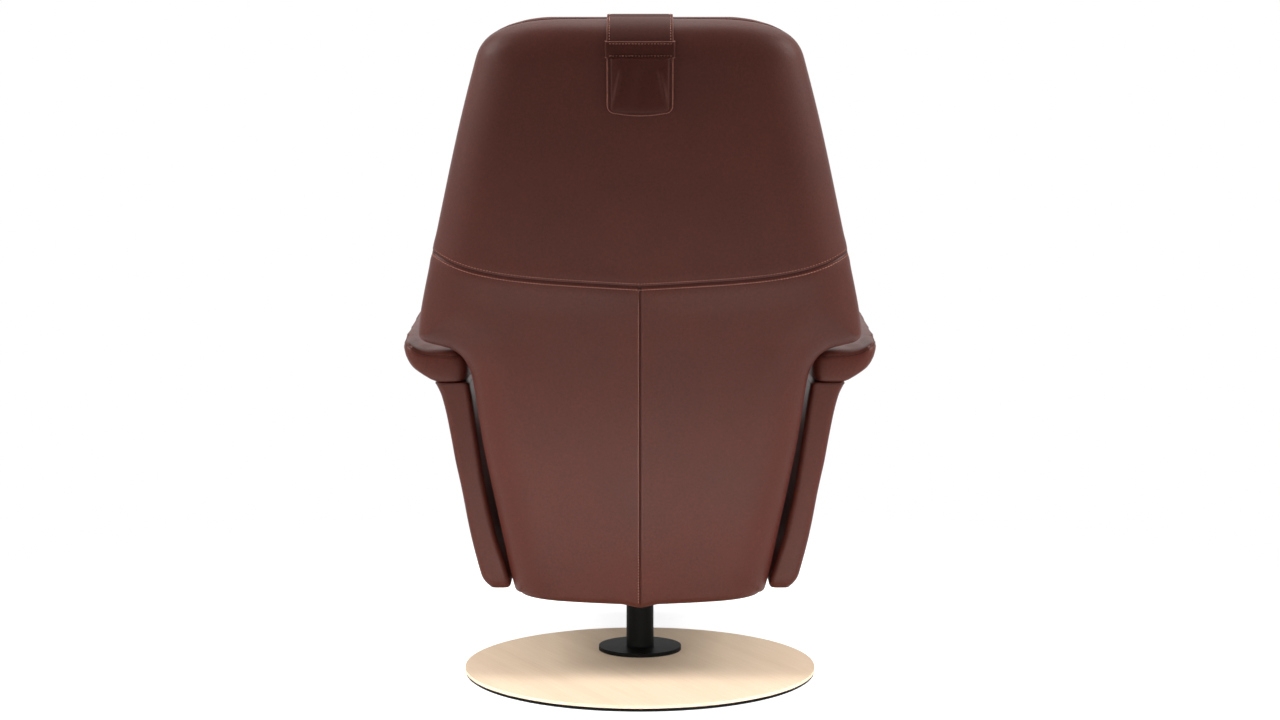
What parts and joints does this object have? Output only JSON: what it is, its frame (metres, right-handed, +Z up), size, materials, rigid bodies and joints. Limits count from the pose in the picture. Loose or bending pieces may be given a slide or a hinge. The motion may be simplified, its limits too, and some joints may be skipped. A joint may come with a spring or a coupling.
{
  "type": "recliner chair",
  "caption": "High-backed leather recliner with padded flared arms, a folding leg rest, a neck cushion on a weighted strap and a swivel column on a round wooden disc base.",
  "frame": {"origin": "on the floor under the swivel column's axis", "axes": "+Z up; the chair faces -Y and its back is towards +Y; its own left arm is at +X"},
  "size_m": [0.8242, 0.8479, 1.1138],
  "materials": {
    "felt": "matte",
    "black_steel": "satin",
    "oak": "matt lacquer",
    "plywood": "raw",
    "steel": "zinc plated",
    "brass": "turned",
    "leather": "semi-gloss fine grain",
    "dark_leather": "semi-gloss fine grain",
    "upholstery": "foam under semi-gloss leather",
    "webbing": "woven",
    "shell": "moulded",
    "plastic": "moulded",
    "button": "gloss"
  },
  "bodies": {
    "base": {"base_felt": "felt", "base_plate": "black_steel", "base_disc": "oak", "column": "black_steel", "flange_screws": "steel", "column_bushes": "brass", "thrust_washer": "brass"},
    "recline_rod": {"recline_rod": "steel"},
    "leg_rod": {"leg_rod": "steel"},
    "button_back_up": {"button_back_up": "button"},
    "button_back_down": {"button_back_down": "button"},
    "button_leg_up": {"button_leg_up": "button"},
    "button_leg_down": {"button_leg_down": "button"},
    "back": {"recline_tube": "steel", "back_post_left": "steel", "back_post_right": "steel", "back_top_bar": "steel", "back_webbing": "webbing", "back_hinge_pins": "steel", "back_shell": "shell", "back_cover_upper": "leather", "back_cover_lower_left": "leather", "back_cover_lower_right": "leather", "back_cushion": "upholstery", "neck_strap": "dark_leather", "strap_loop": "dark_leather"},
    "flap": {"strap_flap": "dark_leather", "flap_weight": "steel"},
    "neck_rest": {"neck_cushion": "upholstery"},
    "leg_rest": {"leg_rest_frame": "steel", "leg_rest_board": "plywood", "leg_rest_pad": "upholstery"},
    "seat": {"retaining_ring": "steel", "spindle": "steel", "frame_bolts": "steel", "bearers": "black_steel", "side_plate_left": "steel", "side_plate_right": "steel", "arm_rail_left": "steel", "arm_rail_right": "steel", "front_cross_bar": "steel", "middle_cross_bar": "steel", "rear_cross_bar": "steel", "seat_rail_front": "plywood", "seat_rails": "plywood", "seat_webbing": "webbing", "seat_cushion": "upholstery", "arm_board_left": "plywood", "arm_board_right": "plywood", "arm_panel_left": "upholstery", "arm_panel_right": "upholstery", "arm_pad_left": "upholstery", "arm_pad_right": "upholstery", "recline_actuator": "plastic", "leg_actuator": "plastic", "actuator_pins": "steel", "service_tray": "steel", "battery_pack": "plastic", "control_box": "plastic", "switch_panel": "plastic"}
  },
  "joints": [
    {"name": "seat_swivel", "type": "hinge", "parent": "base", "child": "seat", "pos_m": [0, 0, 0.12], "axis": [0, 0, 1], "continuous": true},
    {"name": "back_recline", "type": "hinge", "parent": "seat", "child": "back", "pos_m": [0, 0.222, 0.25], "axis": [-1, 0, 0], "range_deg": [0, 30]},
    {"name": "leg_rest_lift", "type": "hinge", "parent": "seat", "child": "leg_rest", "pos_m": [0, -0.36, 0.395], "axis": [-1, 0, 0], "range_deg": [0, 80]},
    {"name": "recline_rod_slide", "type": "slide", "parent": "seat", "child": "recline_rod", "axis": [0, -1, 0], "range_m": [0, 0.0198]},
    {"name": "leg_rod_slide", "type": "slide", "parent": "seat", "child": "leg_rod", "axis": [0, -1, 0], "range_m": [0, 0.1094]},
    {"name": "neck_rest_slide", "type": "slide", "parent": "back", "child": "neck_rest", "axis": [0, 0.1948, 0.9809], "range_m": [0, 0.06]},
    {"name": "flap_slide", "type": "slide", "parent": "back", "child": "flap", "axis": [0, -0.1948, -0.9809], "range_m": [0, 0.06]},
    {"name": "button_back_up_press", "type": "slide", "parent": "seat", "child": "button_back_up", "axis": [-1, 0, 0], "range_m": [0, 0.0015], "stiffness_N_per_m": 1200, "springref_m": -0.0005},
    {"name": "button_back_down_press", "type": "slide", "parent": "seat", "child": "button_back_down", "axis": [-1, 0, 0], "range_m": [0, 0.0015], "stiffness_N_per_m": 1200, "springref_m": -0.0005},
    {"name": "button_leg_up_press", "type": "slide", "parent": "seat", "child": "button_leg_up", "axis": [-1, 0, 0], "range_m": [0, 0.0015], "stiffness_N_per_m": 1200, "springref_m": -0.0005},
    {"name": "button_leg_down_press", "type": "slide", "parent": "seat", "child": "button_leg_down", "axis": [-1, 0, 0], "range_m": [0, 0.0015], "stiffness_N_per_m": 1200, "springref_m": -0.0005}
  ],
  "couplings": [
    {"joint": "recline_rod_slide", "follows": "back_recline", "m_per_rad": 0.037567},
    {"joint": "leg_rod_slide", "follows": "leg_rest_lift", "m_per_rad": 0.078262},
    {"joint": "flap_slide", "follows": "neck_rest_slide", "ratio": 1}
  ]
}
